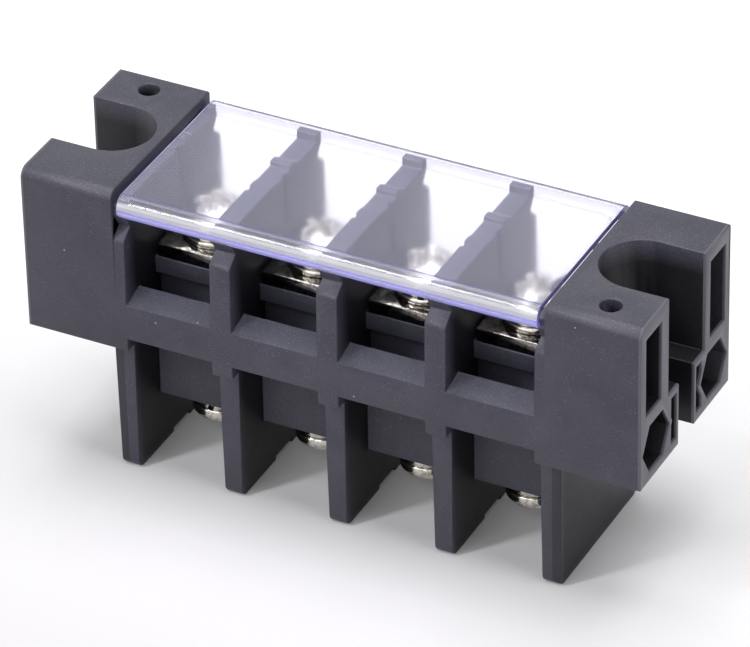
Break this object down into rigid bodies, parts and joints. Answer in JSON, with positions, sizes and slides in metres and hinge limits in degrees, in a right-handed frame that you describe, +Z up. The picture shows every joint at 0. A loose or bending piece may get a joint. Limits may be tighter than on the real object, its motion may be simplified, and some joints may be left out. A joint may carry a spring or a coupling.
{
  "type": "feed-through terminal block",
  "caption": "Black panel-mount barrier block with through conductors, screw terminals above and below the panel, two slotted ears and a clear cover.",
  "frame": {"origin": "middle of the footprint at the level of the feet", "axes": "+X along the row of poles, +Y from front to back, +Z up"},
  "size_m": [0.1032, 0.0324, 0.0519],
  "materials": {
    "housing_plastic": "fine moulded texture",
    "clear_plastic": "clear extruded strip, faint lavender tint",
    "plated_brass": "bright nickel plate",
    "plated_steel": "bright nickel plate"
  },
  "bodies": {
    "block": {"housing": "housing_plastic", "conductor_1": "plated_brass", "conductor_2": "plated_brass", "conductor_3": "plated_brass", "conductor_4": "plated_brass"},
    "cover": {"cover": "clear_plastic"},
    "top_washers_1": {"top_spring_washer_1": "plated_steel", "top_flat_washer_1": "plated_steel"},
    "top_screw_1": {"top_screw_1": "plated_steel"},
    "top_washers_2": {"top_spring_washer_2": "plated_steel", "top_flat_washer_2": "plated_steel"},
    "top_screw_2": {"top_screw_2": "plated_steel"},
    "top_washers_3": {"top_spring_washer_3": "plated_steel", "top_flat_washer_3": "plated_steel"},
    "top_screw_3": {"top_screw_3": "plated_steel"},
    "top_washers_4": {"top_spring_washer_4": "plated_steel", "top_flat_washer_4": "plated_steel"},
    "top_screw_4": {"top_screw_4": "plated_steel"},
    "bottom_washers_1": {"bottom_spring_washer_1": "plated_steel", "bottom_flat_washer_1": "plated_steel"},
    "bottom_screw_1": {"bottom_screw_1": "plated_steel"},
    "bottom_washers_2": {"bottom_spring_washer_2": "plated_steel", "bottom_flat_washer_2": "plated_steel"},
    "bottom_screw_2": {"bottom_screw_2": "plated_steel"},
    "bottom_washers_3": {"bottom_spring_washer_3": "plated_steel", "bottom_flat_washer_3": "plated_steel"},
    "bottom_screw_3": {"bottom_screw_3": "plated_steel"},
    "bottom_washers_4": {"bottom_spring_washer_4": "plated_steel", "bottom_flat_washer_4": "plated_steel"},
    "bottom_screw_4": {"bottom_screw_4": "plated_steel"}
  },
  "joints": [
    {"name": "cover_lift", "type": "slide", "parent": "block", "child": "cover", "axis": [0, 0, 1], "range_m": [0, 0.03]},
    {"name": "top_screw_1_rise", "type": "slide", "parent": "block", "child": "top_washers_1", "axis": [0, 0, 1], "range_m": [0, 0.0032]},
    {"name": "top_screw_1_turn", "type": "hinge", "parent": "top_washers_1", "child": "top_screw_1", "pos_m": [-0.027, 0, 0.0378], "axis": [0, 0, 1], "range_deg": [0, 1440]},
    {"name": "top_screw_2_rise", "type": "slide", "parent": "block", "child": "top_washers_2", "axis": [0, 0, 1], "range_m": [0, 0.0032]},
    {"name": "top_screw_2_turn", "type": "hinge", "parent": "top_washers_2", "child": "top_screw_2", "pos_m": [-0.009, 0, 0.0378], "axis": [0, 0, 1], "range_deg": [0, 1440]},
    {"name": "top_screw_3_rise", "type": "slide", "parent": "block", "child": "top_washers_3", "axis": [0, 0, 1], "range_m": [0, 0.0032]},
    {"name": "top_screw_3_turn", "type": "hinge", "parent": "top_washers_3", "child": "top_screw_3", "pos_m": [0.009, 0, 0.0378], "axis": [0, 0, 1], "range_deg": [0, 1440]},
    {"name": "top_screw_4_rise", "type": "slide", "parent": "block", "child": "top_washers_4", "axis": [0, 0, 1], "range_m": [0, 0.0032]},
    {"name": "top_screw_4_turn", "type": "hinge", "parent": "top_washers_4", "child": "top_screw_4", "pos_m": [0.027, 0, 0.0378], "axis": [0, 0, 1], "range_deg": [0, 1440]},
    {"name": "bottom_screw_1_rise", "type": "slide", "parent": "block", "child": "bottom_washers_1", "axis": [0, 0, -1], "range_m": [0, 0.0032]},
    {"name": "bottom_screw_1_turn", "type": "hinge", "parent": "bottom_washers_1", "child": "bottom_screw_1", "pos_m": [-0.027, 0, 0.0099], "axis": [0, 0, -1], "range_deg": [0, 1440]},
    {"name": "bottom_screw_2_rise", "type": "slide", "parent": "block", "child": "bottom_washers_2", "axis": [0, 0, -1], "range_m": [0, 0.0032]},
    {"name": "bottom_screw_2_turn", "type": "hinge", "parent": "bottom_washers_2", "child": "bottom_screw_2", "pos_m": [-0.009, 0, 0.0099], "axis": [0, 0, -1], "range_deg": [0, 1440]},
    {"name": "bottom_screw_3_rise", "type": "slide", "parent": "block", "child": "bottom_washers_3", "axis": [0, 0, -1], "range_m": [0, 0.0032]},
    {"name": "bottom_screw_3_turn", "type": "hinge", "parent": "bottom_washers_3", "child": "bottom_screw_3", "pos_m": [0.009, 0, 0.0099], "axis": [0, 0, -1], "range_deg": [0, 1440]},
    {"name": "bottom_screw_4_rise", "type": "slide", "parent": "block", "child": "bottom_washers_4", "axis": [0, 0, -1], "range_m": [0, 0.0032]},
    {"name": "bottom_screw_4_turn", "type": "hinge", "parent": "bottom_washers_4", "child": "bottom_screw_4", "pos_m": [0.027, 0, 0.0099], "axis": [0, 0, -1], "range_deg": [0, 1440]}
  ],
  "couplings": [
    {"joint": "top_screw_1_turn", "follows": "top_screw_1_rise", "rad_per_m": 7854},
    {"joint": "top_screw_2_turn", "follows": "top_screw_2_rise", "rad_per_m": 7854},
    {"joint": "top_screw_3_turn", "follows": "top_screw_3_rise", "rad_per_m": 7854},
    {"joint": "top_screw_4_turn", "follows": "top_screw_4_rise", "rad_per_m": 7854},
    {"joint": "bottom_screw_1_turn", "follows": "bottom_screw_1_rise", "rad_per_m": 7854},
    {"joint": "bottom_screw_2_turn", "follows": "bottom_screw_2_rise", "rad_per_m": 7854},
    {"joint": "bottom_screw_3_turn", "follows": "bottom_screw_3_rise", "rad_per_m": 7854},
    {"joint": "bottom_screw_4_turn", "follows": "bottom_screw_4_rise", "rad_per_m": 7854}
  ]
}
